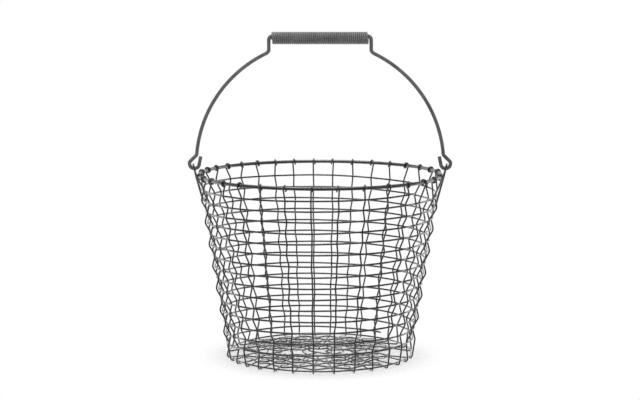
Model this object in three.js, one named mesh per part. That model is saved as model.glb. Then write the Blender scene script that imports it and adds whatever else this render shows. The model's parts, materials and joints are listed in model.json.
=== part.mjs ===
// Round tapered basket, hand-woven from galvanized steel wire, with a swinging wire bail.
// Millimetres, +Z up. The origin is the centre of the base, on the surface that the feet stand on.
// The bail's pivots lie along X, and azimuths are measured from +X towards +Y.

import * as THREE from 'three';

// Driving dimensions: wires
const rimWire = 4.6;
const uprightWire = 2.2;
const weftWire = 2.4;
const earWire = 2.2;
const bailWire = 4.8;
const gripWire = 2.1;

// Driving dimensions: body of the basket
const rimRadius = 160;
const baseRadius = 122;
const sideHeight = 239;
const crossingGap = 0.7;
const footHalfLength = 1.6;

// Driving dimensions: uprights at the front and at the back, clockwise seen from above, with the azimuths of
// those beside the ears in degrees. They were set by eye: in the middle they drift to the left, and the front
// ones are further apart there.
const frontUprights = 15;
const backUprights = 17;
const seamUpright = 3;
const frontFirstAngle = -12;
const frontLastAngle = -170;
const backFirstAngle = -188.5;
const backLastAngle = -350.5;
const middleDriftAngle = 3;
const frontSpreadAngle = 2.4;

// Driving dimensions: rows woven round the side, measured down from the rim. The last one goes part of the
// way round.
const firstRowDrop = 11.7;
const sideRows = 15;
const lastRowShare = 0.75;
const lastRowGap = 9.7;
const rowWander = 0.5;
const uprightWander = 0.6;
const topRowDip = 2.6;
const lowRowDip = 2.1;

// Driving dimensions: rows woven into the base, measured inward from the base hoop, and the distances from
// the centre where the rows and the spokes of different lengths end
const baseFirstGap = 14;
const baseRowPitch = 15.5;
const baseCentreRadius = 9;
const shortSpokeRadius = 46;
const middleSpokeRadius = 26;
const longSpokeRadius = 14;
const spokeTail = 5;
const spokeCrimpShare = 0.5;

// Driving dimensions: hooks of the uprights on the rim
const hookGap = 0.4;
const hookStart = -20;
const hookWrap = 320;
const hookStrandGap = 0.6;

// Driving dimensions: ears
const earSlot = 5.8;
const earRise = 13.5;
const earLean = 3.7;
const earGap = 0.6;
const earRow = 1;

// Driving dimensions: bail
const bailClearance = 0.4;
const bailLegHeight = 22.55;
const bailLegX = 67.2;
const bailBendRadius = 5;
const bailArcInset = 2.53;
const bailArcRise = 4.4;
const bailKinkRise = 3;
const bailArcFoot = 18.2;
const bailEyeWidth = 13;
const bailEyeShoulder = 8.6;
const bailTipRise = 16.1;
const bailTipLean = 2;

// Driving dimensions: grip coil
const gripOuterRadius = 8.4;
const gripTurns = 46;
const gripEndGap = 0.5;
const gripSeatGap = 0.4;

// Facets
const thinWireSides = 4;
const hoopSides = 8;
const earSides = 6;
const bailSides = 8;
const gripSides = 5;
const hoopStepsPerUpright = 2;
const hookSteps = 8;
const gripStepsPerTurn = 8;

// Finishes
const galvanized = { color: 0x7d8083, roughness: 0.42, metalness: 0.9 };
const galvanizedBail = { color: 0x6f7275, roughness: 0.45, metalness: 0.9 };

// Values worked out from the driving dimensions
const fullTurn = 2 * Math.PI;
const uprightCount = frontUprights + backUprights;
const weaveOffset = (uprightWire + weftWire) / 2 + crossingGap;
const footHeight = sectionApothem(uprightWire, thinWireSides);
const baseHeight = footHeight + weaveOffset;
const rimHeight = baseHeight + sideHeight;
const sideTurns = sideRows - 1 + lastRowShare;
const sideRowPitch = (sideHeight - firstRowDrop - lastRowGap) / sideTurns;
const spokeCrimp = spokeCrimpShare * weaveOffset;
const baseRowCrimp = weaveOffset - spokeCrimp;
const hookRadius = (rimWire + uprightWire) / 2 + hookGap;
const hookShift = uprightWire + hookStrandGap;
const earHalfWidth = (earSlot + earWire) / 2;
const pivotHeight = rimHeight + hookRadius + uprightWire / 2 + bailClearance + bailWire / 2;
const earFoot = rimRadius + (rimWire + earWire) / 2 + earGap;
const eyeX = earFoot + earLean * (pivotHeight - rimHeight) / earRise;
const bailArcRadius = eyeX - bailArcInset;
const bailKinkX = bailLegX + bailKinkRise;
const bailKinkHeight = bailArcRise + Math.sqrt(bailArcRadius ** 2 - bailKinkX ** 2);
const bailTop = bailKinkHeight + bailLegHeight;

const basket = new THREE.Group();

function radians(degrees) {
  return degrees * Math.PI / 180;
}

// Circumradius of a regular section that has the area of the round wire.
function sectionRadius(wire, sides) {
  return wire / 2 * Math.sqrt(fullTurn / (sides * Math.sin(fullTurn / sides)));
}

function sectionApothem(wire, sides) {
  return sectionRadius(wire, sides) * Math.cos(Math.PI / sides);
}

// Rings of section points along a path. Each ring lies in the plane that halves the bend there, so the
// wire keeps its thickness round the bend. The section is turned to a fixed direction, or, where carried
// is set, to the direction of the ring before it.
function wireRings(path, wire, sides, direction, { closed = false, carried = false } = {}) {
  const radius = sectionRadius(wire, sides);
  const last = path.length - 1;
  let across = direction.clone();
  return path.map((point, i) => {
    const before = closed ? path[(i + last) % path.length] : path[Math.max(i - 1, 0)];
    const after = closed ? path[(i + 1) % path.length] : path[Math.min(i + 1, last)];
    const arriving = point.clone().sub(i === 0 && !closed ? after : before).normalize();
    const leaving = after.clone().sub(point).normalize();
    if (i === 0 && !closed) arriving.negate();
    if (i === last && !closed) leaving.copy(arriving);
    const along = arriving.clone().add(leaving).normalize();
    const bend = leaving.clone().sub(arriving);
    const stretch = 1 / along.dot(leaving) - 1;
    if (bend.lengthSq() > 0) bend.normalize();
    const first = (carried ? across : direction).clone();
    first.addScaledVector(along, -first.dot(along)).normalize();
    across = first;
    const second = along.clone().cross(first);
    return Array.from({ length: sides }, (_, side) => {
      const angle = (side + 0.5) * fullTurn / sides;
      const offset = first.clone().multiplyScalar(radius * Math.cos(angle));
      offset.addScaledVector(second, radius * Math.sin(angle));
      offset.addScaledVector(bend, offset.dot(bend) * stretch);
      return offset.add(point);
    });
  });
}

// Closed skin over the rings, with flat ends unless the path is a loop.
function ringsGeometry(rings, closed) {
  const sides = rings[0].length;
  const indices = [];
  const spans = closed ? rings.length : rings.length - 1;
  for (let i = 0; i < spans; i += 1) {
    const near = i * sides;
    const far = ((i + 1) % rings.length) * sides;
    for (let side = 0; side < sides; side += 1) {
      const next = (side + 1) % sides;
      indices.push(near + side, near + next, far + side);
      indices.push(near + next, far + next, far + side);
    }
  }
  if (!closed) {
    const end = (rings.length - 1) * sides;
    for (let side = 1; side < sides - 1; side += 1) {
      indices.push(0, side + 1, side);
      indices.push(end, end + side, end + side + 1);
    }
  }
  const geometry = new THREE.BufferGeometry();
  const coordinates = rings.flat().flatMap((point) => point.toArray());
  geometry.setAttribute('position', new THREE.Float32BufferAttribute(coordinates, 3));
  geometry.setIndex(indices);
  geometry.computeVertexNormals();
  return geometry;
}

function addWire(name, rings, finish, closed = false) {
  const mesh = new THREE.Mesh(ringsGeometry(rings, closed), new THREE.MeshStandardMaterial(finish));
  mesh.name = name;
  basket.add(mesh);
}

// Point given by its azimuth, its distance from the axis, its height and a shift along the rim.
function around(azimuth, radius, height, shift = 0) {
  const x = radius * Math.cos(azimuth) - shift * Math.sin(azimuth);
  const y = radius * Math.sin(azimuth) + shift * Math.cos(azimuth);
  return new THREE.Vector3(x, y, height);
}

// Points of an arc about a centre in a plane, from one angle to another, in degrees.
function arc(centreX, centreY, radius, from, to, steps) {
  return Array.from({ length: steps + 1 }, (_, i) => {
    const angle = radians(from + (to - from) * i / steps);
    return [centreX + radius * Math.cos(angle), centreY + radius * Math.sin(angle)];
  });
}

// Side rows: crossings are counted along the spiral from its upper end, one for each upright that it passes.
const sideCrossings = Math.floor(sideTurns * uprightCount);

function frontAngle(share) {
  const drift = middleDriftAngle * Math.sin(Math.PI * share);
  const spread = frontSpreadAngle * Math.sin(fullTurn * share);
  return frontFirstAngle + (frontLastAngle - frontFirstAngle) * share - drift + spread;
}

function backAngle(share) {
  const drift = middleDriftAngle * Math.sin(Math.PI * share);
  return backFirstAngle + (backLastAngle - backFirstAngle) * share + drift;
}

// Angle of an upright in degrees. The uprights are counted from the seam of the rows, on from turn to turn.
function uprightAngle(count) {
  const turn = Math.floor((count + seamUpright) / uprightCount);
  const place = count + seamUpright - turn * uprightCount;
  if (place < frontUprights) return frontAngle(place / (frontUprights - 1)) - 360 * turn;
  return backAngle((place - frontUprights) / (backUprights - 1)) - 360 * turn;
}

// Azimuth of an upright, or of a place between two of them.
function uprightAzimuth(count) {
  const before = Math.floor(count);
  const step = uprightAngle(before + 1) - uprightAngle(before);
  return radians(uprightAngle(before) + (count - before) * step);
}

// Place along the first turn of the spiral where it passes an azimuth.
function crossingAt(azimuth) {
  const ahead = azimuth > uprightAzimuth(0) ? azimuth - fullTurn : azimuth;
  let before = 0;
  while (uprightAzimuth(before + 1) > ahead) before += 1;
  const from = uprightAzimuth(before);
  return before + (from - ahead) / (from - uprightAzimuth(before + 1));
}

function sideRow(crossing) {
  const azimuth = uprightAzimuth(crossing);
  const fade = (1 - crossing / (sideTurns * uprightCount)) ** 4;
  const tilt = (lowRowDip - (topRowDip + lowRowDip) * fade) * Math.sin(azimuth);
  const wander = rowWander * Math.sin(0.83 * crossing) * Math.cos(0.31 * crossing);
  const drop = firstRowDrop + sideRowPitch * crossing / uprightCount + tilt + wander;
  const radius = rimRadius - (rimRadius - baseRadius) * drop / sideHeight;
  return { azimuth, radius, height: rimHeight - drop };
}

function alternate(count) {
  return count % 2 === 0 ? 1 : -1;
}

// Side of the row on which an upright passes. Each turn changes the sides of the turn above, so the row steps
// past two uprights on one side at the seam where their number is even.
function sideOf(crossing) {
  const turn = Math.floor(crossing / uprightCount);
  return alternate(crossing - turn * uprightCount + turn);
}

// How near the centre an upright is still crossed. Every second one stops first, then every second one of
// the rest, so that the spokes stay about evenly spread.
function leastCrossing(index) {
  if (index % 2 === 1) return shortSpokeRadius;
  if (index % 4 === 2) return middleSpokeRadius;
  return index % 8 === 4 ? longSpokeRadius : 0;
}

// Base rows: the crossings of one spiral with the spokes, from the hoop inward. It steps at the seam too.
function baseCrossingList() {
  const list = [];
  const end = (baseRadius - baseFirstGap - baseCentreRadius) * uprightCount / baseRowPitch;
  for (let step = 0; step < end; step += 1) {
    const upright = step % uprightCount;
    const radius = baseRadius - baseFirstGap - baseRowPitch * step / uprightCount;
    if (radius < leastCrossing(upright)) continue;
    const turn = Math.floor(step / uprightCount);
    list.push({ upright, azimuth: uprightAzimuth(step), radius, side: alternate(list.length + turn) });
  }
  return list;
}

const baseCrossings = baseCrossingList();

// Hook that wraps over the rim from the side where the upright arrives, and ends beside it.
function hookPoints(arrivalSide, leanSign) {
  return Array.from({ length: hookSteps + 1 }, (_, i) => {
    const angle = radians(hookStart + hookWrap * i / hookSteps);
    const out = arrivalSide * hookRadius * Math.cos(angle);
    return [rimRadius + out, rimHeight + hookRadius * Math.sin(angle), leanSign * hookShift * i / hookSteps];
  });
}

// Profile of one upright from the centre of the base to its hook, as distance, height and shift.
function uprightProfile(index) {
  const spoke = baseCrossings.filter((crossing) => crossing.upright === index).reverse();
  const points = [[spoke[0].radius - spokeTail, baseHeight + spoke[0].side * spokeCrimp, 0]];
  spoke.forEach(({ radius, side }) => points.push([radius, baseHeight + side * spokeCrimp, 0]));
  points.push([baseRadius - footHalfLength, footHeight, 0]);
  points.push([baseRadius + footHalfLength, footHeight, 0]);
  points.push([baseRadius + weaveOffset, baseHeight, 0]);
  const rows = Math.floor((sideCrossings - index) / uprightCount);
  for (let row = rows; row >= 0; row -= 1) {
    const crossing = index + row * uprightCount;
    const { radius, height } = sideRow(crossing);
    const wander = uprightWander * Math.sin(2.4 * index + 1.3 * row);
    points.push([radius + sideOf(crossing) * weaveOffset, height, wander]);
  }
  const leanSign = Math.sign(Math.sin(2 * uprightAzimuth(index))) || 1;
  return points.concat(hookPoints(-sideOf(index), leanSign));
}

function addRim() {
  const steps = uprightCount * hoopStepsPerUpright;
  const path = Array.from({ length: steps }, (_, i) => {
    return around(uprightAzimuth(-i / hoopStepsPerUpright), rimRadius, rimHeight);
  });
  const up = new THREE.Vector3(0, 0, 1);
  addWire('rim_hoop', wireRings(path, rimWire, hoopSides, up, { closed: true }), galvanized, true);
}

function addUprights() {
  for (let index = 0; index < uprightCount; index += 1) {
    const azimuth = uprightAzimuth(index);
    const path = uprightProfile(index).map((place) => around(azimuth, ...place));
    const tangent = new THREE.Vector3(-Math.sin(azimuth), Math.cos(azimuth), 0);
    const name = `upright_${String(index + 1).padStart(2, '0')}`;
    addWire(name, wireRings(path, uprightWire, thinWireSides, tangent), galvanized);
  }
}

function rowPoint(crossing) {
  const { azimuth, radius, height } = sideRow(crossing);
  return around(azimuth, radius, height);
}

// Each row is a length of wire from seam to seam. It runs on past its end crossings by a share of the space
// between two uprights, so its ends all but meet those of the rows above and below.
const rowOverrun = 0.48;

function addSideRows() {
  const up = new THREE.Vector3(0, 0, 1);
  for (let row = 0; row < sideRows; row += 1) {
    const first = row * uprightCount;
    const last = Math.min(first + uprightCount - 1, sideCrossings);
    const path = [rowPoint(first).lerp(rowPoint(first - 1), rowOverrun)];
    for (let crossing = first; crossing <= last; crossing += 1) path.push(rowPoint(crossing));
    path.push(rowPoint(last).lerp(rowPoint(last + 1), rowOverrun));
    const name = `side_row_${String(row + 1).padStart(2, '0')}`;
    addWire(name, wireRings(path, weftWire, thinWireSides, up), galvanized);
  }
}

// The weft of the base runs on past its end crossings by this share of the space between them.
const weftOverrun = 0.35;

function addBase() {
  const up = new THREE.Vector3(0, 0, 1);
  const hoop = Array.from({ length: uprightCount }, (_, i) => {
    return around(uprightAzimuth(-i), baseRadius, baseHeight);
  });
  addWire('base_hoop', wireRings(hoop, weftWire, thinWireSides, up, { closed: true }), galvanized, true);
  const path = baseCrossings.map(({ azimuth, radius, side }) => {
    return around(azimuth, radius, baseHeight - side * baseRowCrimp);
  });
  const start = path[0].clone().lerp(path[1], -weftOverrun);
  const last = path.length - 1;
  const end = path[last].clone().lerp(path[last - 1], -weftOverrun);
  addWire('base_weft', wireRings([start, ...path, end], weftWire, thinWireSides, up), galvanized);
}

// Point where a chosen row of the side weft passes a distance along Y from an ear's middle.
function weftAt(earSign, y, row) {
  const crossing = crossingAt(Math.atan2(y, earSign * rimRadius)) + row * uprightCount;
  const from = sideRow(Math.floor(crossing));
  const to = sideRow(Math.ceil(crossing));
  const near = around(from.azimuth, from.radius, from.height);
  const far = around(to.azimuth, to.radius, to.height);
  return near.lerp(far, crossing - Math.floor(crossing));
}

// Leg of an ear from its hook under a weft row up to the level of the rim.
function earLeg(earSign, y) {
  const weft = weftAt(earSign, y, earRow);
  const bend = (weftWire + earWire) / 2 + earGap;
  const hook = arc(Math.abs(weft.x), weft.z, bend, 180, 360, 4);
  const leg = hook.map(([x, z]) => new THREE.Vector3(earSign * x, y, z));
  leg.push(new THREE.Vector3(earSign * earFoot, y, rimHeight - rimWire / 2));
  return leg;
}

function addEar(name, earSign) {
  const archHeight = rimHeight + earRise - earHalfWidth;
  const archX = (height) => earSign * (earFoot + earLean * (height - rimHeight) / earRise);
  const arch = arc(0, archHeight, earHalfWidth, 0, 180, 6);
  const top = arch.map(([y, z]) => new THREE.Vector3(archX(z), y, z));
  const path = [...earLeg(earSign, earHalfWidth), ...top, ...earLeg(earSign, -earHalfWidth).reverse()];
  const across = new THREE.Vector3(0, 1, 0);
  addWire(name, wireRings(path, earWire, earSides, across, { carried: true }), galvanized);
}

// Half of the bail from its top centre to the tip of its eye, as distance along X and height over the pivot.
function bailHalf() {
  const eyeRadius = bailEyeWidth / 2;
  const bendX = bailLegX - bailBendRadius;
  const arcStart = Math.acos(bailKinkX / bailArcRadius) * 180 / Math.PI;
  const arcEnd = Math.asin((bailArcFoot - bailArcRise) / bailArcRadius) * 180 / Math.PI;
  return [
    [0, bailTop],
    ...arc(bendX, bailTop - bailBendRadius, bailBendRadius, 90, 0, 3),
    [bailLegX, bailKinkHeight + bailKinkRise],
    ...arc(0, bailArcRise, bailArcRadius, arcStart, arcEnd, 12),
    [eyeX + eyeRadius, bailEyeShoulder],
    ...arc(eyeX, eyeRadius, eyeRadius, 0, -180, 6),
    [eyeX - eyeRadius - bailTipLean, bailTipRise],
  ];
}

function addBail() {
  const right = bailHalf();
  const left = right.slice(1).reverse().map(([x, z]) => [-x, z]);
  const path = [...left, ...right].map(([x, z]) => new THREE.Vector3(x, 0, pivotHeight + z));
  const across = new THREE.Vector3(0, 1, 0);
  addWire('bail', wireRings(path, bailWire, bailSides, across), galvanizedBail);
}

// Least distance between points of the coil's skin that are at least half a turn apart along the wire.
function leastSelfGap(rings, skippedRings) {
  let least = Infinity;
  for (let i = 0; i < rings.length; i += 1) {
    for (let j = i + skippedRings; j < Math.min(rings.length, i + 3 * skippedRings); j += 1) {
      rings[i].forEach((p) => rings[j].forEach((q) => {
        least = Math.min(least, p.distanceTo(q));
      }));
    }
  }
  return least;
}

// The coil hangs on the bail: the top of its bore rests on the wire.
function addGrip() {
  const length = 2 * (bailLegX - bailWire / 2 - gripEndGap);
  const radius = gripOuterRadius - gripWire / 2;
  const boreFlat = radius * Math.cos(Math.PI / gripStepsPerTurn) - sectionRadius(gripWire, gripSides);
  const hang = boreFlat - sectionRadius(bailWire, bailSides) - gripSeatGap;
  const axisHeight = pivotHeight + bailTop - hang;
  const travel = length - 2 * sectionRadius(gripWire, gripSides);
  const steps = gripTurns * gripStepsPerTurn;
  const path = Array.from({ length: steps + 1 }, (_, i) => {
    const angle = i * fullTurn / gripStepsPerTurn;
    const x = travel * (i / steps - 0.5);
    return new THREE.Vector3(x, radius * Math.cos(angle), axisHeight + radius * Math.sin(angle));
  });
  const startRun = new THREE.Vector3(0, 0, -gripWire).add(path[0]);
  const endRun = new THREE.Vector3(0, 0, gripWire).add(path[steps]);
  const alongBail = new THREE.Vector3(1, 0, 0);
  const rings = wireRings([startRun, ...path, endRun], gripWire, gripSides, alongBail);
  addWire('grip_coil', rings, galvanizedBail);
  console.log(`grip coil: least gap to itself ${leastSelfGap(rings, gripStepsPerTurn / 2).toFixed(2)} mm`);
}

addRim();
addUprights();
addSideRows();
addBase();
addEar('ear_right', 1);
addEar('ear_left', -1);
addBail();
addGrip();

export default basket;
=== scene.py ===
"""Woven galvanized wire basket with a swinging bail, dressed for rendering.

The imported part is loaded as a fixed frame. Each of its faceted wires is drawn again as a smooth round wire in
the same place, and the basket stands on a plain pale floor in soft studio light.
"""

import json
import math

import bpy
from bpy.props import FloatProperty, FloatVectorProperty, IntProperty, PointerProperty
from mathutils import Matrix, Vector

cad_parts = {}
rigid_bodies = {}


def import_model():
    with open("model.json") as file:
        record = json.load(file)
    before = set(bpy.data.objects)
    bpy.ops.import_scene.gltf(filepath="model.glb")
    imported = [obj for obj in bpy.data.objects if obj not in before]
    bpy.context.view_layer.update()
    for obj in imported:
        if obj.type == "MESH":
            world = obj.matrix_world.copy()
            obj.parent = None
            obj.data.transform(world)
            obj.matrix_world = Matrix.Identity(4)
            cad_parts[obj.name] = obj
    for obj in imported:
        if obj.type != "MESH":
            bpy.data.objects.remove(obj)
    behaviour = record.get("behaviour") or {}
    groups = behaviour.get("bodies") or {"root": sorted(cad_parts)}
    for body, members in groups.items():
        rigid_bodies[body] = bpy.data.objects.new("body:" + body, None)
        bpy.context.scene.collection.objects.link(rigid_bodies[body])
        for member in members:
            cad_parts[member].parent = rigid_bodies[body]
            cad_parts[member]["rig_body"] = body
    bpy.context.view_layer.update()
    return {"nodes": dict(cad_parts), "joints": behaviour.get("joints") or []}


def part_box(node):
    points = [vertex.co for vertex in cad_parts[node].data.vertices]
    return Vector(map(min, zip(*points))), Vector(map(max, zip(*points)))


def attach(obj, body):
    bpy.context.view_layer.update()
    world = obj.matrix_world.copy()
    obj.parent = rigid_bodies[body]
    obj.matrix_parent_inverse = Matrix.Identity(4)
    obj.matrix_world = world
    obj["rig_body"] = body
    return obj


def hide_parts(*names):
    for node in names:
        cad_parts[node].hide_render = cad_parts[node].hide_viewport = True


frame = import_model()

bl_info = {
    "name": "Woven wire basket",
    "version": (1, 0, 0),
    "blender": (4, 5, 0),
    "location": "View3D > Sidebar > Basket",
    "description": "Draws a galvanized wire basket and its studio around the packed part",
    "category": "Object",
}

MM = 0.001
UP = Vector((0, 0, 1))
WHITE = (1, 1, 1, 1)
SENSOR_WIDTH = 36

# Points of a path that lie closer together than this are one point.
LEAST_STEP = 0.02 * MM

# Shares of the space between two uprights by which a row of the side and the weft of the base run on past
# their end crossings. The ends of the rows meet.
ROW_OVERRUN = 0.5
WEFT_OVERRUN = 0.35

# Degrees round the rim, from its middle's level, where a hook starts, and how far it goes.
HOOK_START = -20
HOOK_WRAP = 320

# The weft of the base is bent this many times as wide as the uprights.
BASE_BEND = 3

# Shares of a wire's thickness: length of the chamfer on a cut end, and width of the face it leaves.
CHAMFER = 0.12
CHAMFER_FACE = 0.8

# The dip of the first row fades out down the side with this power.
DIP_FADE = 4

# Steps, in radians, of the waves that make the wires uneven. Those of a row go on from upright to upright,
# and those of the uprights go on from one to the next and from row to row.
ROW_WAVE = 0.83
ROW_SWELL = 0.31
UPRIGHT_WAVE = 2.4
UPRIGHT_SWELL = 1.3

# Octaves of the noise in the zinc's bloom and lumps, and strength of the bloom's finer ones.
BLOOM_DETAIL = 4
BLOOM_GRAIN = 0.6
LUMP_DETAIL = 2

# Facets round each wire, and steps along its bends.
THIN_SIDES = 10
THICK_SIDES = 16
HOOP_STEPS = 6
BEND_STEPS = 5
HOOK_STEPS = 24
EYE_STEPS = 18
ARCH_STEPS = 48
COIL_STEPS = 20

# Steps round the floor and the dim tent, and rings of the tent.
FLOOR_STEPS = 96
TENT_STEPS = 48
TENT_RINGS = 32


def linear(code):
    """Linear red, green and blue of an sRGB hex colour."""
    channels = [int(code[i:i + 2], 16) / 255 for i in (1, 3, 5)]
    return tuple(c / 12.92 if c <= 0.04045 else ((c + 0.055) / 1.055) ** 2.4 for c in channels)


def length(name, millimetres, description):
    """A size for the sidebar, written here in millimetres."""
    return FloatProperty(name=name, description=description, default=millimetres * MM, min=0, unit="LENGTH",
                         precision=5)


def colour(name, code, description):
    """A colour for the sidebar, written here as an sRGB hex value."""
    return FloatVectorProperty(name=name, description=description, default=linear(code), size=3, min=0, max=1,
                               subtype="COLOR")


def share(name, value, description):
    """A share from 0 to 1 for the sidebar."""
    return FloatProperty(name=name, description=description, default=value, min=0, max=1, subtype="FACTOR")


def angle(name, degrees, description):
    """An angle for the sidebar, written here in degrees."""
    return FloatProperty(name=name, description=description, default=math.radians(degrees), subtype="ANGLE")


def middle_height(node):
    """Height of the middle of a CAD node."""
    low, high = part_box(node)
    return (low.z + high.z) / 2


def joint_height(name):
    """Height of a CAD joint's axis."""
    return next(joint["pos_m"][2] for joint in frame["joints"] if joint["name"] == name)


class BasketWires(bpy.types.PropertyGroup):
    """Thickness of each wire."""

    rim: length("Rim wire", 4.6, "Wire of the hoop round the mouth")
    upright: length("Upright wire", 2.2, "Wire of the uprights and spokes")
    weft: length("Weft wire", 2.4, "Wire woven round the side and the base")
    ear: length("Ear wire", 2.2, "Wire of the two ears")
    bail: length("Bail wire", 4.8, "Wire of the bail")
    grip: length("Grip wire", 2.7, "Wire wound into the grip")


class BasketWeave(bpy.types.PropertyGroup):
    """Sizes of the woven body."""

    rim_radius: length("Rim radius", 160, "Radius of the rim hoop's centreline")
    base_radius: length("Base radius", 122, "Radius of the base hoop's centreline")
    front_uprights: IntProperty(name="Front uprights", description="Uprights from ear to ear at the front",
                                default=15, min=2)
    back_uprights: IntProperty(name="Back uprights", description="Uprights from ear to ear at the back",
                               default=17, min=2)
    seam_upright: IntProperty(name="Seam", description="Front upright where the rows start", default=3, min=0)
    front_first: angle("First front upright", -12, "Azimuth of the front upright beside the right ear")
    front_last: angle("Last front upright", -170, "Azimuth of the front upright beside the left ear")
    back_first: angle("First back upright", -188.5, "Azimuth of the back upright beside the left ear")
    back_last: angle("Last back upright", -350.5, "Azimuth of the back upright beside the right ear")
    middle_drift: angle("Middle drift", 3, "How far the middle uprights stand to the left")
    front_spread: angle("Front spread", 2.4, "How much further apart the middle front uprights are")
    crossing: length("Crossing", 3, "How far an upright is bent aside at a row")
    crossing_bend: length("Crossing bend", 8.5, "Radius of an upright's bends at the rows")
    foot: length("Foot", 1.6, "Half the length of the flat under the base hoop")
    first_row: length("First row", 11.7, "Drop of the first row below the rim")
    side_rows: IntProperty(name="Side rows", description="Rows woven round the side", default=15, min=1)
    last_row_share: share("Last row share", 0.75, "How far round the last row goes")
    last_row: length("Last row", 9.7, "Room between the last row and the base hoop")
    row_bend: length("Row bend", 70, "Radius of a row's bends at the uprights")
    row_wander: length("Row wander", 0.5, "Unevenness of the rows")
    upright_wander: length("Upright wander", 0.6, "Unevenness of the uprights")
    top_tilt: length("Top row tilt", 2.6, "How far the first row dips at the front")
    low_tilt: length("Low row tilt", 2.1, "How far the lower rows dip at the back")
    base_first: length("First base row", 14, "Distance of the first base row from the hoop")
    base_pitch: length("Base row pitch", 15.5, "Distance between base rows")
    base_centre: length("Base centre", 9, "Radius where the base rows end")
    short_spoke: length("Short spokes", 46, "Radius where every second spoke ends")
    middle_spoke: length("Middle spokes", 26, "Radius where every second one of the others ends")
    long_spoke: length("Long spokes", 14, "Radius where every second one of the rest ends")
    spoke_tail: length("Spoke tail", 5, "Length of a spoke past its last row")
    hook_gap: length("Hook gap", 0.1, "Room between a hook and the rim")
    hook_strand: length("Hook strand", 2.8, "Distance from a hook's tail to its upright")


class BasketBail(bpy.types.PropertyGroup):
    """Sizes of the ears, the bail and the grip."""

    ear_slot: length("Ear slot", 5.8, "Inside width of an ear")
    ear_rise: length("Ear rise", 13.5, "Height of an ear above the rim")
    ear_lean: length("Ear lean", 3.7, "How far the top of an ear leans out")
    ear_gap: length("Ear gap", 0.6, "Room between an ear and what it goes round")
    leg_height: length("Leg height", 22.55, "Height of the bail's straight top above the ends of its arch")
    leg_x: length("Leg distance", 67.2, "Distance of the bail's straight legs from the middle")
    leg_bend: length("Leg bend", 5, "Radius of the bends beside the grip")
    kink: length("Kink", 3, "Width of the kink from leg to arch")
    kink_bend: length("Kink bend", 4, "Radius of the bail's smaller bends")
    arch_inset: length("Arch inset", 2.53, "How far the arch springs inside the eyes")
    arch_rise: length("Arch rise", 4.4, "Height of the arch's centre above the pivots")
    arch_foot: length("Arch foot", 18.2, "Height of the arch's lower ends above the pivots")
    eye_width: length("Eye width", 13, "Width of the bail's eyes, between centrelines")
    eye_shoulder: length("Eye shoulder", 8.6, "Height where an eye's bend meets the arch")
    eye_tip: length("Eye tip", 16.1, "Height of the cut end of an eye")
    tip_lean: length("Tip lean", 2, "How far the cut end of an eye leans in")
    grip_radius: length("Grip radius", 8.4, "Outside radius of the grip")
    grip_turns: IntProperty(name="Grip turns", description="Turns of wire in the grip", default=46, min=1)
    grip_end: length("Grip end", 0.5, "Room between the grip and the bail's legs")


class BasketFinish(bpy.types.PropertyGroup):
    """Colours and pattern sizes of the zinc."""

    pale_zinc: colour("Pale zinc", "#BCBCBC", "Rim, uprights and ears where a pale bloom has grown")
    dull_zinc: colour("Dull zinc", "#8E8E8E", "Rim, uprights and ears elsewhere")
    zinc_rough: share("Zinc roughness", 0.3, "Least roughness of the rim, uprights and ears")
    weft_pale_zinc: colour("Pale weft zinc", "#B4B4B4", "Weft where a pale bloom has grown")
    weft_dull_zinc: colour("Dull weft zinc", "#888888", "Weft elsewhere")
    weft_rough: share("Weft roughness", 0.08, "Least roughness of the weft")
    bail_pale_zinc: colour("Pale bail zinc", "#A2A2A2", "Bail where it is rubbed")
    bail_dull_zinc: colour("Dull bail zinc", "#808080", "Bail elsewhere")
    bail_rough: share("Bail roughness", 0.5, "Least roughness of the bail")
    bail_oxide: share("Bail oxide", 0.4, "How much of the bail is under a dull skin of oxide")
    grip_pale_zinc: colour("Pale grip zinc", "#B0B0B0", "Grip where hands rub it most")
    grip_dull_zinc: colour("Dull grip zinc", "#8C8C8C", "Grip elsewhere")
    grip_rough: share("Grip roughness", 0.5, "Least roughness of the grip")
    grip_oxide: share("Grip oxide", 0.4, "How much of the grip is under a dull skin of oxide")
    # Painted reflection: the wires near the floor are painted paler, standing in for the white floor that they
    # don't mirror.
    floor_reflection_zinc: colour("Damp zinc", "#E0E0E0", "Pale bloom on the wires near the floor, where damp stands")
    crystal: length("Crystal size", 3.5, "Size of the zinc's crystals")
    crystal_share: share("Crystals", 0.38, "How much of the mottling comes from crystals, not from bloom")
    bloom: length("Bloom size", 22, "Size of the patches of bloom")
    bloom_start: share("Bloom start", 0.36, "Level of the noise where bloom starts")
    bloom_full: share("Full bloom", 0.66, "Level of the noise where bloom is full")
    bloom_rough: share("Bloom roughness", 0.14, "How much rougher the palest zinc is than the dullest")
    lump: length("Lump size", 1.4, "Size of the lumps in the zinc skin")
    lump_height: length("Lump height", 0.06, "Height of the lumps in the zinc skin")
    lump_strength: share("Lump strength", 0.5, "How much the lumps show")
    # Height where the painted reflection of the floor ends, and how much of the lowest wires' zinc it covers at
    # most.
    floor_reflection_height: length("Damp height", 14, "Height where the bloom from damp ends")
    floor_reflection_most: share("Damp", 0.6, "Most of the zinc that the bloom from damp covers")


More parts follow.
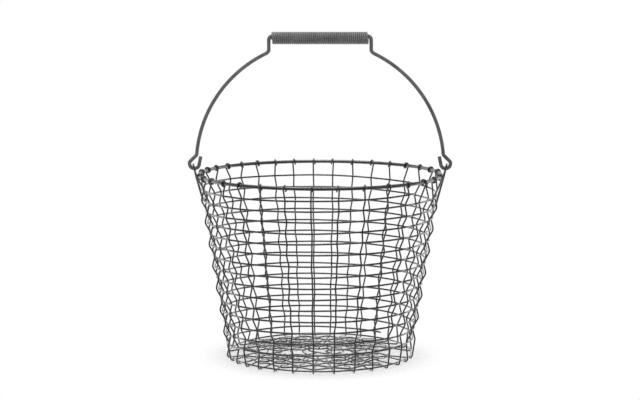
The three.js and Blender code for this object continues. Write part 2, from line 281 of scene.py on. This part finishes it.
class BasketStage(bpy.types.PropertyGroup):
    """Floor, light, dim tent and camera."""

    floor: colour("Floor", "#FBFBFA", "Colour of the floor")
    floor_radius: length("Floor radius", 3000, "Radius of the floor")
    fade_start: length("Fade start", 110, "Distance where the floor starts to fade into the background")
    fade_end: length("Fade end", 170, "Distance where the floor has faded into the background")
    floor_wash: share("Floor wash", 0.5, "How far the white room washes out the floor under the basket")
    room_light: share("Room light", 0.72, "Light from all round")
    lamp_power: FloatProperty(name="Lamp", description="Power of the soft lamp overhead", default=19, min=0,
                              unit="POWER")
    lamp_place: FloatVectorProperty(name="Lamp place", description="Where the soft lamp hangs",
                                    default=(-0.3, 0.2, 2.6), size=3, subtype="TRANSLATION", unit="LENGTH")
    lamp_size: length("Lamp size", 1900, "Side of the soft lamp")
    tent_radius: length("Tent radius", 3600, "Radius of the dim tent that the wires mirror")
    tent_sides: angle("Tent sides", 105, "Angle from the camera's side to the tent's left and right edges")
    tent_head: angle("Tent head", 158, "Angle from the camera's side to the tent's upper edge")
    tent_foot: angle("Tent foot", 92, "Angle from the camera's side to the tent's lower edge")
    tent_low: share("Low tent light", 0.05, "Brightness of the dim tent at its foot")
    tent_high: share("High tent light", 0.15, "Brightness of the dim tent at its top")
    camera_distance: length("Camera distance", 2400, "Distance of the camera in front of the basket's axis")
    camera_height: length("Camera height", 518.8, "Height of the camera")
    camera_pitch: FloatProperty(name="Camera pitch", description="How far the camera looks down",
                                default=0.1285, subtype="ANGLE")
    camera_lens: FloatProperty(name="Lens", description="Focal length on a 36 mm wide sensor", default=102.66,
                               min=1, unit="CAMERA")


class BasketSettings(bpy.types.PropertyGroup):
    """All settings of the basket."""

    wires: PointerProperty(type=BasketWires, name="Wires", description="Thickness of each wire")
    weave: PointerProperty(type=BasketWeave, name="Weave", description="Sizes of the woven body")
    bail: PointerProperty(type=BasketBail, name="Bail", description="Sizes of the ears, bail and grip")
    finish: PointerProperty(type=BasketFinish, name="Finish", description="Colours and patterns of the zinc")
    stage: PointerProperty(type=BasketStage, name="Stage", description="Floor, light, dim tent and camera")


class Plan:
    """Where the wires run, worked out from the settings, in metres and radians."""

    def __init__(self, settings):
        self.wires = wires = settings.wires
        self.weave = weave = settings.weave
        self.bail = bail = settings.bail
        self.base_height = middle_height("base_hoop")
        self.rim_height = middle_height("rim_hoop")
        self.pivot_height = joint_height("bail_swing")
        self.grip_height = joint_height("grip_turn")
        self.side_height = self.rim_height - self.base_height
        self.count = weave.front_uprights + weave.back_uprights
        self.turns = weave.side_rows - 1 + weave.last_row_share
        self.row_pitch = (self.side_height - weave.first_row - weave.last_row) / self.turns
        self.side_crossings = math.floor(self.turns * self.count)
        self.crimp = weave.crossing / 2
        self.hook_radius = (wires.rim + wires.upright) / 2 + weave.hook_gap
        self.ear_half = (bail.ear_slot + wires.ear) / 2
        self.ear_foot = weave.rim_radius + (wires.rim + wires.ear) / 2 + bail.ear_gap
        self.eye_x = self.ear_foot + bail.ear_lean * (self.pivot_height - self.rim_height) / bail.ear_rise
        self.base_crossings = list(self.find_base_crossings())

    def upright_azimuth(self, count):
        """Azimuth of an upright, counted from the seam of the rows and on from turn to turn."""
        weave = self.weave
        turn, place = divmod(count + weave.seam_upright, self.count)
        if place < weave.front_uprights:
            along = place / (weave.front_uprights - 1)
            azimuth = weave.front_first + (weave.front_last - weave.front_first) * along
            spread = weave.front_spread * math.sin(math.tau * along)
            azimuth += spread - weave.middle_drift * math.sin(math.pi * along)
        else:
            along = (place - weave.front_uprights) / (weave.back_uprights - 1)
            azimuth = weave.back_first + (weave.back_last - weave.back_first) * along
            azimuth += weave.middle_drift * math.sin(math.pi * along)
        return azimuth - turn * math.tau

    def azimuth(self, count):
        """Azimuth of an upright, or of a place between two of them."""
        before = math.floor(count)
        here, following = self.upright_azimuth(before), self.upright_azimuth(before + 1)
        return here + (count - before) * (following - here)

    def crossing_at(self, azimuth):
        """Place along the first row, in uprights passed, where it is at an azimuth."""
        if azimuth > self.azimuth(0):
            azimuth -= math.tau
        before = next(i for i in range(self.count) if self.azimuth(i + 1) <= azimuth)
        here, following = self.azimuth(before), self.azimuth(before + 1)
        return before + (here - azimuth) / (here - following)

    def side(self, crossing):
        """Side of the row on which an upright passes. Each row changes the sides of the row above."""
        row, index = divmod(crossing, self.count)
        return alternate(index + row)

    def side_row(self, crossing):
        """Azimuth, radius and height of the side's rows at a place, counted in uprights passed."""
        weave = self.weave
        azimuth = self.azimuth(crossing)
        fade = (1 - crossing / (self.turns * self.count)) ** DIP_FADE
        tilt = (weave.low_tilt - (weave.top_tilt + weave.low_tilt) * fade) * math.sin(azimuth)
        wander = weave.row_wander * math.sin(ROW_WAVE * crossing) * math.cos(ROW_SWELL * crossing)
        drop = weave.first_row + self.row_pitch * crossing / self.count + tilt + wander
        radius = weave.rim_radius - (weave.rim_radius - weave.base_radius) * drop / self.side_height
        return azimuth, radius, self.rim_height - drop

    def least_crossing(self, upright):
        """Radius inside which a spoke is crossed no more."""
        if upright % 2:
            return self.weave.short_spoke
        if upright % 4:
            return self.weave.middle_spoke
        return self.weave.long_spoke if upright % 8 else 0

    def find_base_crossings(self):
        """Upright, azimuth, radius and side of each crossing of the base weft, from the hoop inward."""
        weave = self.weave
        outer = weave.base_radius - weave.base_first
        passed = 0
        for step in range(math.ceil((outer - weave.base_centre) * self.count / weave.base_pitch)):
            turn, upright = divmod(step, self.count)
            radius = outer - weave.base_pitch * step / self.count
            if radius >= self.least_crossing(upright):
                yield upright, self.azimuth(step), radius, alternate(passed + turn)
                passed += 1

    def hook(self, arrival, lean):
        """Hook over the rim from the side where the upright arrives, as radius, height and shift."""
        for i in range(HOOK_STEPS + 1):
            turn = math.radians(HOOK_START + HOOK_WRAP * i / HOOK_STEPS)
            radius = self.weave.rim_radius + arrival * self.hook_radius * math.cos(turn)
            height = self.rim_height + self.hook_radius * math.sin(turn)
            yield radius, height, lean * self.weave.hook_strand * i / HOOK_STEPS

    def upright(self, index):
        """Path of an upright from the middle of the base to its hook."""
        weave = self.weave
        azimuth = self.azimuth(index)
        spoke = [(radius, self.base_height + side * self.crimp)
                 for upright, _, radius, side in self.base_crossings if upright == index]
        radius, height = spoke[-1]
        places = [(radius - weave.spoke_tail, height, 0)]
        places += [(radius, height, 0) for radius, height in reversed(spoke)]
        places.append((weave.base_radius - weave.foot, self.wires.upright / 2, 0))
        places.append((weave.base_radius + weave.foot, self.wires.upright / 2, 0))
        places.append((weave.base_radius + weave.crossing, self.base_height, 0))
        for row in reversed(range((self.side_crossings - index) // self.count + 1)):
            crossing = index + row * self.count
            _, radius, height = self.side_row(crossing)
            wander = weave.upright_wander * math.sin(UPRIGHT_WAVE * index + UPRIGHT_SWELL * row)
            places.append((radius + self.side(crossing) * weave.crossing, height, wander))
        # The hooks lean the other way in each quarter of the rim.
        lean = math.copysign(1, math.sin(2 * azimuth))
        places += self.hook(-self.side(index), lean)
        return bent([around(azimuth, *place) for place in places], weave.crossing_bend)

    def row_path(self, row):
        """Path of one row of the side, from seam to seam."""
        first = row * self.count
        last = min(first + self.count - 1, self.side_crossings)
        path = [around(*self.side_row(crossing)) for crossing in range(first - 1, last + 2)]
        path[0] = path[1].lerp(path[0], ROW_OVERRUN)
        path[-1] = path[-2].lerp(path[-1], ROW_OVERRUN)
        return bent(path, self.weave.row_bend)

    def base_weft(self):
        """Path of the spiral wire of the base, crimped over and under the spokes."""
        path = [around(azimuth, radius, self.base_height - side * self.crimp)
                for _, azimuth, radius, side in self.base_crossings]
        path.insert(0, path[0].lerp(path[1], -WEFT_OVERRUN))
        path.append(path[-1].lerp(path[-2], -WEFT_OVERRUN))
        return bent(path, BASE_BEND * self.weave.crossing_bend)

    def hoop(self, radius, height):
        """Path of a closed hoop."""
        steps = self.count * HOOP_STEPS
        return [around(i * math.tau / steps, radius, height) for i in range(steps)]

    def ear_leg(self, sign, y):
        """Path of an ear's leg from its hook under the second row to the rim's level."""
        crossing = self.crossing_at(math.atan2(y, sign * self.weave.rim_radius)) + self.count
        before = math.floor(crossing)
        weft = around(*self.side_row(before)).lerp(around(*self.side_row(before + 1)), crossing - before)
        bend = (self.wires.weft + self.wires.ear) / 2 + self.bail.ear_gap
        hook = arc(abs(weft.x), weft.z, bend, 180, 360, EYE_STEPS)
        leg = [Vector((sign * x, y, z)) for x, z in hook]
        return leg + [Vector((sign * self.ear_foot, y, self.rim_height - self.wires.rim / 2))]

    def ear(self, sign):
        """Path of an ear from hook to hook."""
        bail = self.bail
        top = []
        for y, z in arc(0, self.rim_height + bail.ear_rise - self.ear_half, self.ear_half, 0, 180, EYE_STEPS):
            out = self.ear_foot + bail.ear_lean * (z - self.rim_height) / bail.ear_rise
            top.append(Vector((sign * out, y, z)))
        path = self.ear_leg(sign, self.ear_half) + top + self.ear_leg(sign, -self.ear_half)[::-1]
        return bent(path, bail.kink_bend)

    def bail_path(self):
        """Path of the bail from one cut end to the other."""
        bail = self.bail
        arch = self.eye_x - bail.arch_inset
        kink_x = bail.leg_x + bail.kink
        kink_height = bail.arch_rise + math.sqrt(arch ** 2 - kink_x ** 2)
        top = kink_height + bail.leg_height
        start = math.degrees(math.acos(kink_x / arch))
        end = math.degrees(math.asin((bail.arch_foot - bail.arch_rise) / arch))
        eye = bail.eye_width / 2
        half = [
            (0, top),
            *arc(bail.leg_x - bail.leg_bend, top - bail.leg_bend, bail.leg_bend, 90, 0, EYE_STEPS),
            (bail.leg_x, kink_height + bail.kink),
            *arc(0, bail.arch_rise, arch, start, end, ARCH_STEPS),
            (self.eye_x + eye, bail.eye_shoulder),
            *arc(self.eye_x, eye, eye, 0, -180, EYE_STEPS),
            (self.eye_x - eye - bail.tip_lean, bail.eye_tip),
        ]
        places = [(-x, z) for x, z in reversed(half)] + half[1:]
        return bent([Vector((x, 0, self.pivot_height + z)) for x, z in places], bail.kink_bend)

    def grip_path(self):
        """Path of the grip's coil, with straight ends."""
        bail = self.bail
        wire = self.wires.grip
        travel = 2 * (bail.leg_x - self.wires.bail / 2 - bail.grip_end) - wire
        radius = bail.grip_radius - wire / 2
        steps = bail.grip_turns * COIL_STEPS
        path = []
        for i in range(steps + 1):
            turn = i * math.tau / COIL_STEPS
            height = self.grip_height + radius * math.sin(turn)
            path.append(Vector((travel * (i / steps - 0.5), radius * math.cos(turn), height)))
        return [path[0] - wire * UP, *path, path[-1] + wire * UP]


def alternate(count):
    """One side for an even count, the other for an odd one."""
    return -1 if count % 2 else 1


def around(azimuth, radius, height, shift=0):
    """Point at an azimuth, a distance from the axis and a height, shifted along the rim."""
    x = radius * math.cos(azimuth) - shift * math.sin(azimuth)
    y = radius * math.sin(azimuth) + shift * math.cos(azimuth)
    return Vector((x, y, height))


def arc(centre_x, centre_y, radius, start, end, steps):
    """Points of an arc in a plane, with angles in degrees."""
    angles = [math.radians(start + (end - start) * i / steps) for i in range(steps + 1)]
    return [(centre_x + radius * math.cos(a), centre_y + radius * math.sin(a)) for a in angles]


def bent(points, radius):
    """Path of a wire through the points, with each corner bent to a radius where there is room."""
    path = [points[0]]
    for before, corner, after in zip(points, points[1:], points[2:]):
        arriving, leaving = corner - before, after - corner
        reach = radius * math.tan(arriving.angle(leaving) / 2)
        reach = min(reach, arriving.length / 2, leaving.length / 2)
        start = corner - reach * arriving.normalized()
        end = corner + reach * leaving.normalized()
        for i in range(BEND_STEPS + 1):
            t = i / BEND_STEPS
            point = start.lerp(corner, t).lerp(corner.lerp(end, t), t)
            if (point - path[-1]).length > LEAST_STEP:
                path.append(point)
    if (points[-1] - path[-1]).length > LEAST_STEP:
        path.append(points[-1])
    return path


def cut_ends(path, wire):
    """Path and ring scales of an open wire whose cut ends are slightly chamfered."""
    chamfer = CHAMFER * wire
    first = path[0] + chamfer * (path[1] - path[0]).normalized()
    last = path[-1] + chamfer * (path[-2] - path[-1]).normalized()
    scales = [CHAMFER_FACE, *[1] * len(path), CHAMFER_FACE]
    return [path[0], first, *path[1:-1], last, path[-1]], scales


def wire_mesh(name, path, wire, sides, closed=False):
    """Mesh of a round wire along a path."""
    scales = [1] * len(path)
    if not closed:
        path, scales = cut_ends(path, wire)
    count = len(path)
    across = UP if closed else (path[1] - path[0]).orthogonal()
    points = []
    for i, (point, scale) in enumerate(zip(path, scales)):
        before = path[i - 1] if closed or i else point
        after = path[(i + 1) % count] if closed or i < count - 1 else point
        along = (after - before).normalized()
        across = (across - across.dot(along) * along).normalized()
        aside = along.cross(across)
        for side in range(sides):
            turn = side * math.tau / sides
            points.append(point + scale * wire / 2 * (math.cos(turn) * across + math.sin(turn) * aside))
    faces = []
    for i in range(count if closed else count - 1):
        near, far = i * sides, (i + 1) % count * sides
        for side in range(sides):
            following = (side + 1) % sides
            faces.append((near + side, near + following, far + following, far + side))
    skin = len(faces)
    if not closed:
        faces.append(tuple(reversed(range(sides))))
        faces.append(tuple(range((count - 1) * sides, count * sides)))
    mesh = bpy.data.meshes.new(name)
    mesh.from_pydata(points, [], faces)
    mesh.polygons.foreach_set("use_smooth", [i < skin for i in range(len(faces))])
    mesh.update()
    return mesh


def add_wire(node, path, wire, sides, material, closed=False):
    """Add the round wire that stands for a CAD node, on that node's body."""
    body = frame["nodes"][node]["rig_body"]
    obj = bpy.data.objects.new(f"{node}_wire", wire_mesh(f"{node}_wire", path, wire, sides, closed))
    bpy.context.scene.collection.objects.link(obj)
    obj.data.materials.append(material)
    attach(obj, body)
    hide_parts(node)


def add_node(tree, kind, inputs=(), **settings):
    """Add a node with its settings, and set or link its inputs."""
    node = tree.nodes.new(kind)
    for name, value in settings.items():
        setattr(node, name, value)
    for socket, value in dict(inputs).items():
        if isinstance(value, bpy.types.NodeSocket):
            tree.links.new(value, node.inputs[socket])
        else:
            node.inputs[socket].default_value = value
    return node


def empty_tree(owner):
    """The owner's node tree with nothing in it."""
    owner.use_nodes = True
    owner.node_tree.nodes.clear()
    return owner.node_tree


def galvanized_zinc(finish, name, pale, dull, rough, oxide=0):
    """Steel wire dipped in molten zinc and left to weather. The eye sees a dull satin grey metal, mottled by
    fine crystals and by paler patches of bloom, with low lumps where the zinc froze. Towards the floor the zinc
    is painted paler, a painted reflection of the white floor that the wires don't mirror. Oxide lies on the
    metal as a matt grey skin. The crystals are drawn a few times coarser than on real wire, because finer ones
    don't show."""
    if name in bpy.data.materials:
        return bpy.data.materials[name]
    material = bpy.data.materials.new(name)
    tree = empty_tree(material)
    place = add_node(tree, "ShaderNodeTexCoord").outputs["Object"]
    crystals = add_node(tree, "ShaderNodeTexVoronoi", {"Vector": place, "Scale": 1 / finish.crystal})
    crystal = add_node(tree, "ShaderNodeSeparateColor", {"Color": crystals.outputs["Color"]})
    bloom = add_node(tree, "ShaderNodeTexNoise", {
        "Vector": place, "Scale": 1 / finish.bloom, "Detail": BLOOM_DETAIL, "Roughness": BLOOM_GRAIN})
    patches = add_node(tree, "ShaderNodeMapRange", {
        "Value": bloom.outputs["Fac"], "From Min": finish.bloom_start, "From Max": finish.bloom_full})
    # A Mix node mixes the numbers at its inputs 2 and 3, or the colours at 6 and 7.
    paleness = add_node(tree, "ShaderNodeMix", {
        0: finish.crystal_share, 2: patches.outputs["Result"], 3: crystal.outputs["Red"]})
    zinc = add_node(tree, "ShaderNodeMix", {
        0: paleness.outputs[0], 6: (*dull, 1), 7: (*pale, 1)}, data_type="RGBA")
    height = add_node(tree, "ShaderNodeSeparateXYZ", {"Vector": place}).outputs["Z"]
    # Painted reflection of the white floor: towards the floor the zinc is mixed into a pale colour, because the
    # wires don't mirror the floor.
    low = add_node(tree, "ShaderNodeMapRange", {
        "Value": height, "From Max": finish.floor_reflection_height, "To Min": finish.floor_reflection_most, "To Max": 0})
    zinc_and_floor_reflection = add_node(tree, "ShaderNodeMix", {
        0: low.outputs["Result"], 6: zinc.outputs[2], 7: (*finish.floor_reflection_zinc, 1)}, data_type="RGBA")
    dullness = add_node(tree, "ShaderNodeMapRange", {
        "Value": paleness.outputs[0], "To Min": rough, "To Max": rough + finish.bloom_rough})
    lumps = add_node(tree, "ShaderNodeTexNoise", {
        "Vector": place, "Scale": 1 / finish.lump, "Detail": LUMP_DETAIL})
    skin = add_node(tree, "ShaderNodeBump", {
        "Height": lumps.outputs["Fac"], "Strength": finish.lump_strength, "Distance": finish.lump_height})
    metal = add_node(tree, "ShaderNodeBsdfPrincipled", {
        "Base Color": zinc_and_floor_reflection.outputs[2], "Metallic": 1 - oxide, "Roughness": dullness.outputs["Result"],
        "Normal": skin.outputs["Normal"]})
    add_node(tree, "ShaderNodeOutputMaterial", {"Surface": metal.outputs["BSDF"]})
    return material


def basket_zinc(settings):
    """Zinc of the rim, uprights and ears."""
    finish = settings.finish
    return galvanized_zinc(finish, "galvanized_steel_wire", finish.pale_zinc, finish.dull_zinc,
                           finish.zinc_rough)


def weft_zinc(settings):
    """Zinc of the weft, which is a smoother and shinier wire."""
    finish = settings.finish
    return galvanized_zinc(finish, "bright_galvanized_wire", finish.weft_pale_zinc, finish.weft_dull_zinc,
                           finish.weft_rough)


def bail_zinc(settings):
    """Zinc of the bail, darkened by weather and dulled by oxide."""
    finish = settings.finish
    return galvanized_zinc(finish, "weathered_galvanized_wire", finish.bail_pale_zinc, finish.bail_dull_zinc,
                           finish.bail_rough, finish.bail_oxide)


def grip_zinc(settings):
    """Zinc of the grip, kept paler by hands than that of the bail."""
    finish = settings.finish
    return galvanized_zinc(finish, "handled_galvanized_wire", finish.grip_pale_zinc, finish.grip_dull_zinc,
                           finish.grip_rough, finish.grip_oxide)


class BasketRim(bpy.types.Operator):
    """Draw the hoop round the mouth"""

    bl_idname = "wire_basket.rim"
    bl_label = "Rim"

    def execute(self, context):
        settings = context.scene.wire_basket
        plan = Plan(settings)
        path = plan.hoop(settings.weave.rim_radius, plan.rim_height)
        add_wire("rim_hoop", path, settings.wires.rim, THICK_SIDES, basket_zinc(settings), closed=True)
        return {"FINISHED"}


class BasketUprights(bpy.types.Operator):
    """Draw the uprights from the base to their hooks on the rim"""

    bl_idname = "wire_basket.uprights"
    bl_label = "Uprights"

    def execute(self, context):
        settings = context.scene.wire_basket
        plan = Plan(settings)
        zinc = basket_zinc(settings)
        for index in range(plan.count):
            node = f"upright_{index + 1:02d}"
            add_wire(node, plan.upright(index), settings.wires.upright, THIN_SIDES, zinc)
        return {"FINISHED"}


class BasketSideRows(bpy.types.Operator):
    """Draw the rows that are woven round the side"""

    bl_idname = "wire_basket.side_rows"
    bl_label = "Side rows"

    def execute(self, context):
        settings = context.scene.wire_basket
        plan = Plan(settings)
        zinc = weft_zinc(settings)
        for row in range(settings.weave.side_rows):
            node = f"side_row_{row + 1:02d}"
            add_wire(node, plan.row_path(row), settings.wires.weft, THIN_SIDES, zinc)
        return {"FINISHED"}


class BasketBase(bpy.types.Operator):
    """Draw the base hoop and the wire that spirals into the base"""

    bl_idname = "wire_basket.base"
    bl_label = "Base"

    def execute(self, context):
        settings = context.scene.wire_basket
        plan = Plan(settings)
        zinc = weft_zinc(settings)
        hoop = plan.hoop(settings.weave.base_radius, plan.base_height)
        add_wire("base_hoop", hoop, settings.wires.weft, THIN_SIDES, zinc, closed=True)
        add_wire("base_weft", plan.base_weft(), settings.wires.weft, THIN_SIDES, zinc)
        return {"FINISHED"}


class BasketEars(bpy.types.Operator):
    """Draw the ears that hold the bail"""

    bl_idname = "wire_basket.ears"
    bl_label = "Ears"

    def execute(self, context):
        settings = context.scene.wire_basket
        plan = Plan(settings)
        zinc = basket_zinc(settings)
        for node, sign in (("ear_right", 1), ("ear_left", -1)):
            add_wire(node, plan.ear(sign), settings.wires.ear, THIN_SIDES, zinc)
        return {"FINISHED"}


class BasketBailWire(bpy.types.Operator):
    """Draw the bail with its eyes"""

    bl_idname = "wire_basket.bail"
    bl_label = "Bail"

    def execute(self, context):
        settings = context.scene.wire_basket
        path = Plan(settings).bail_path()
        add_wire("bail", path, settings.wires.bail, THICK_SIDES, bail_zinc(settings))
        return {"FINISHED"}


class BasketGrip(bpy.types.Operator):
    """Draw the wound grip"""

    bl_idname = "wire_basket.grip"
    bl_label = "Grip"

    def execute(self, context):
        settings = context.scene.wire_basket
        path = Plan(settings).grip_path()
        add_wire("grip_coil", path, settings.wires.grip, THIN_SIDES, grip_zinc(settings))
        return {"FINISHED"}


class BasketStudio(bpy.types.Operator):
    """Set up the floor, the light, the dim tent and the camera"""

    bl_idname = "wire_basket.studio"
    bl_label = "Studio"

    def execute(self, context):
        stage = context.scene.wire_basket.stage
        add_room(context.scene, stage)
        add_floor(context.scene, stage)
        add_tent(context.scene, stage)
        add_lamp(context.scene, stage)
        add_camera(context.scene, stage)
        context.scene.view_settings.view_transform = "Standard"
        return {"FINISHED"}


def add_room(scene, stage):
    """White room. The camera, metal and glass see it full white, and it lights matt surfaces less."""
    world = bpy.data.worlds.new("white_studio")
    tree = empty_tree(world)
    rays = add_node(tree, "ShaderNodeLightPath").outputs
    seen = add_node(tree, "ShaderNodeMath", {
        0: rays["Is Camera Ray"], 1: rays["Is Glossy Ray"]}, operation="ADD")
    seen = add_node(tree, "ShaderNodeMath", {
        0: seen.outputs[0], 1: rays["Is Transmission Ray"]}, operation="ADD", use_clamp=True)
    light = add_node(tree, "ShaderNodeBackground", {"Color": WHITE, "Strength": stage.room_light})
    white = add_node(tree, "ShaderNodeBackground", {"Color": WHITE, "Strength": 1})
    mixed = add_node(tree, "ShaderNodeMixShader", {
        0: seen.outputs[0], 1: light.outputs[0], 2: white.outputs[0]})
    add_node(tree, "ShaderNodeOutputWorld", {"Surface": mixed.outputs[0]})
    scene.world = world


def add_floor(scene, stage):
    """Matt white painted board: even and without gloss. It fades out into the white room."""
    points = [around(i * math.tau / FLOOR_STEPS, stage.floor_radius, 0) for i in range(FLOOR_STEPS)]
    mesh = bpy.data.meshes.new("floor")
    mesh.from_pydata(points, [], [tuple(range(FLOOR_STEPS))])
    material = bpy.data.materials.new("matt_white_board")
    tree = empty_tree(material)
    place = add_node(tree, "ShaderNodeTexCoord").outputs["Object"]
    distance = add_node(tree, "ShaderNodeVectorMath", {0: place}, operation="LENGTH")
    fade = add_node(tree, "ShaderNodeMapRange", {
        "Value": distance.outputs["Value"], "From Min": stage.fade_start, "From Max": stage.fade_end,
        "To Min": stage.floor_wash}, interpolation_type="SMOOTHSTEP")
    board = add_node(tree, "ShaderNodeBsdfDiffuse", {"Color": (*stage.floor, 1)})
    clear = add_node(tree, "ShaderNodeBsdfTransparent")
    mixed = add_node(tree, "ShaderNodeMixShader", {
        0: fade.outputs["Result"], 1: board.outputs[0], 2: clear.outputs[0]})
    add_node(tree, "ShaderNodeOutputMaterial", {"Surface": mixed.outputs[0]})
    mesh.materials.append(material)
    floor = bpy.data.objects.new("floor", mesh)
    scene.collection.objects.link(floor)
    floor.visible_glossy = False


def add_tent(scene, stage):
    """Dim tent that is open at the back, darker towards its foot. It is only mirrored in the wires, which get
    their dark fronts from it, while those that run into the depth mirror the white room behind."""
    points = []
    for ring in range(TENT_RINGS):
        for step in range(TENT_STEPS):
            turn = step * math.tau / TENT_STEPS
            end = stage.tent_head if math.sin(turn) > 0 else stage.tent_foot
            reach = stage.tent_sides + (end - stage.tent_sides) * math.sin(turn) ** 2
            lean = reach * (ring + 1) / TENT_RINGS
            aside, rise = math.sin(lean) * math.cos(turn), math.sin(lean) * math.sin(turn)
            points.append(stage.tent_radius * Vector((aside, -math.cos(lean), rise)))
    faces = [tuple(range(TENT_STEPS))]
    for ring in range(TENT_RINGS - 1):
        near, far = ring * TENT_STEPS, (ring + 1) * TENT_STEPS
        for step in range(TENT_STEPS):
            following = (step + 1) % TENT_STEPS
            faces.append((near + step, near + following, far + following, far + step))
    mesh = bpy.data.meshes.new("dim_tent")
    mesh.from_pydata(points, [], faces)
    material = bpy.data.materials.new("dim_grey_cloth")
    tree = empty_tree(material)
    place = add_node(tree, "ShaderNodeTexCoord").outputs["Object"]
    height = add_node(tree, "ShaderNodeSeparateXYZ", {"Vector": place}).outputs["Z"]
    level = add_node(tree, "ShaderNodeMapRange", {
        "Value": height, "From Min": -stage.tent_radius, "From Max": stage.tent_radius,
        "To Min": stage.tent_low, "To Max": stage.tent_high})
    glow = add_node(tree, "ShaderNodeEmission", {"Color": WHITE, "Strength": level.outputs["Result"]})
    add_node(tree, "ShaderNodeOutputMaterial", {"Surface": glow.outputs[0]})
    mesh.materials.append(material)
    tent = bpy.data.objects.new("dim_tent", mesh)
    scene.collection.objects.link(tent)
    tent.visible_camera = False
    tent.visible_diffuse = False
    tent.visible_transmission = False
    tent.visible_shadow = False


def add_lamp(scene, stage):
    """Large soft lamp overhead, a little behind the basket."""
    data = bpy.data.lights.new("soft_lamp", "AREA")
    data.energy = stage.lamp_power
    data.size = stage.lamp_size
    lamp = bpy.data.objects.new("soft_lamp", data)
    lamp.location = stage.lamp_place
    lamp.visible_camera = False
    scene.collection.objects.link(lamp)


def add_camera(scene, stage):
    """Camera at the photograph's viewing angle."""
    data = bpy.data.cameras.new("camera")
    data.sensor_width = SENSOR_WIDTH
    data.lens = stage.camera_lens
    camera = bpy.data.objects.new("camera", data)
    camera.location = (0, -stage.camera_distance, stage.camera_height)
    camera.rotation_euler = (math.pi / 2 - stage.camera_pitch, 0, 0)
    scene.collection.objects.link(camera)
    scene.camera = camera


class BasketPanel(bpy.types.Panel):
    """Settings and pieces of the wire basket"""

    bl_idname = "VIEW3D_PT_wire_basket"
    bl_label = "Woven wire basket"
    bl_space_type = "VIEW_3D"
    bl_region_type = "UI"
    bl_category = "Basket"

    def draw(self, context):
        settings = context.scene.wire_basket
        for operator in OPERATORS:
            self.layout.operator(operator.bl_idname)
        for group in (settings.wires, settings.weave, settings.bail, settings.finish, settings.stage):
            box = self.layout.box()
            for name in group.bl_rna.properties.keys():
                if name not in ("rna_type", "name"):
                    box.prop(group, name)


GROUPS = (BasketWires, BasketWeave, BasketBail, BasketFinish, BasketStage, BasketSettings)
OPERATORS = (BasketStudio, BasketRim, BasketUprights, BasketSideRows, BasketBase, BasketEars, BasketBailWire,
             BasketGrip)


def register():
    """Make the settings, operators and panel known to Blender."""
    for item in (*GROUPS, *OPERATORS, BasketPanel):
        bpy.utils.register_class(item)
    bpy.types.Scene.wire_basket = PointerProperty(type=BasketSettings, name="Wire basket",
                                                  description="Settings of the wire basket")


def unregister():
    """Take the settings, operators and panel away again."""
    del bpy.types.Scene.wire_basket
    for item in reversed((*GROUPS, *OPERATORS, BasketPanel)):
        bpy.utils.unregister_class(item)


def main():
    """Draw the basket in its studio."""
    register()
    bpy.ops.wire_basket.studio()
    bpy.ops.wire_basket.rim()
    bpy.ops.wire_basket.uprights()
    bpy.ops.wire_basket.side_rows()
    bpy.ops.wire_basket.base()
    bpy.ops.wire_basket.ears()
    bpy.ops.wire_basket.bail()
    bpy.ops.wire_basket.grip()


if __name__ == "__main__":
    main()
